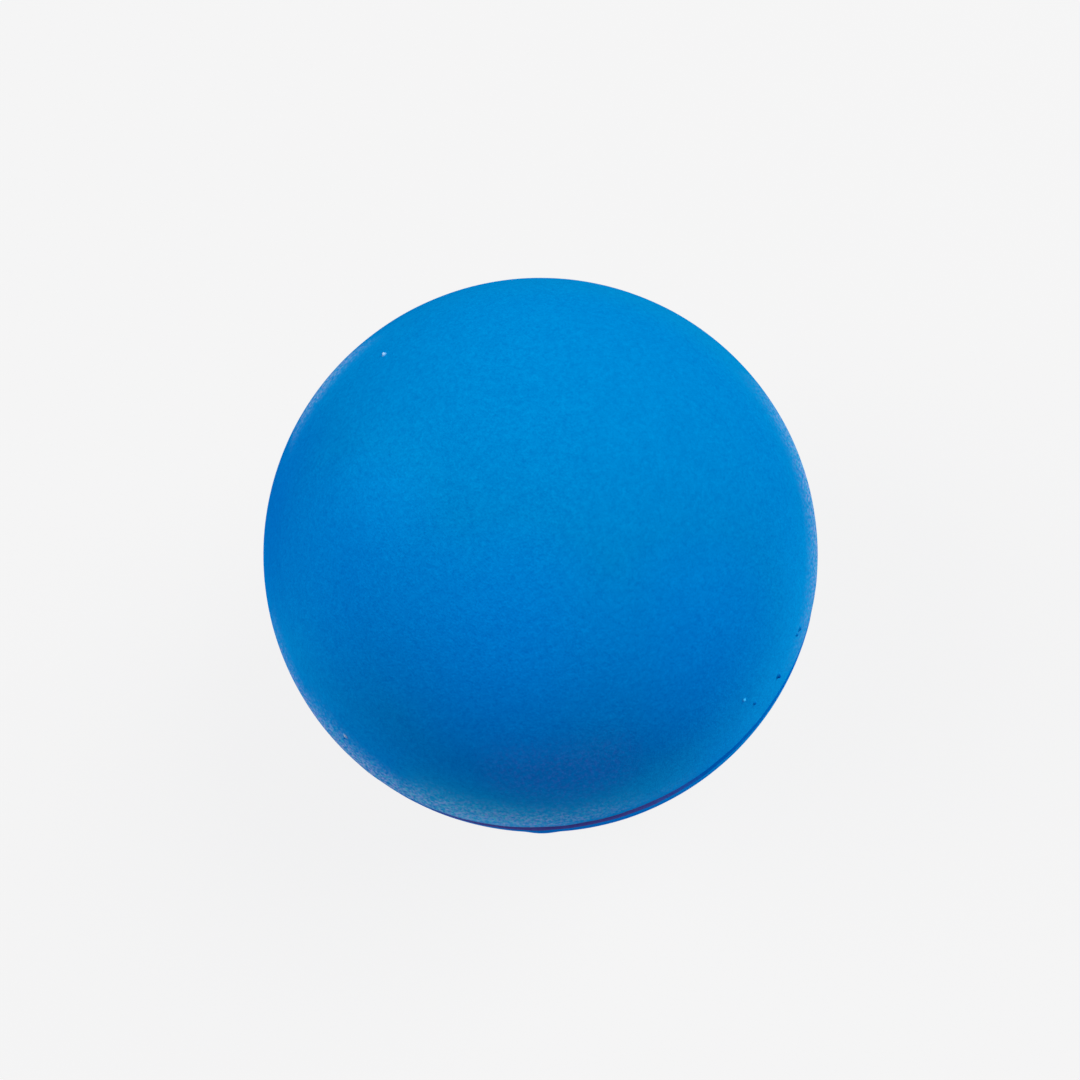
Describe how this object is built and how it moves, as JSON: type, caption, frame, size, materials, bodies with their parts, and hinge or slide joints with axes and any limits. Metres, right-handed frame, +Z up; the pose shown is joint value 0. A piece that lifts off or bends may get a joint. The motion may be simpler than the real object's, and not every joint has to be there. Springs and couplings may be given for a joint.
{
  "type": "hockey ball",
  "caption": "Round hollow rubber ball struck with a hockey stick: moulded half shells cemented along a lapped seam, with a shallow V groove round the equator.",
  "frame": {"origin": "centre of the ball", "axes": "+Z up, square to the seam, so the seam lies in the XY plane; X and Y are free because the ball is round about Z"},
  "size_m": [0.066, 0.066, 0.066],
  "materials": {
    "shell_rubber": "matte blue moulded rubber with a fine grain and a dusty bloom",
    "seam_cement": "dull dark indigo rubber cement"
  },
  "bodies": {
    "root": {"upper_half_shell": "shell_rubber", "lower_half_shell": "shell_rubber", "seam_cement": "seam_cement"}
  },
  "joints": []
}
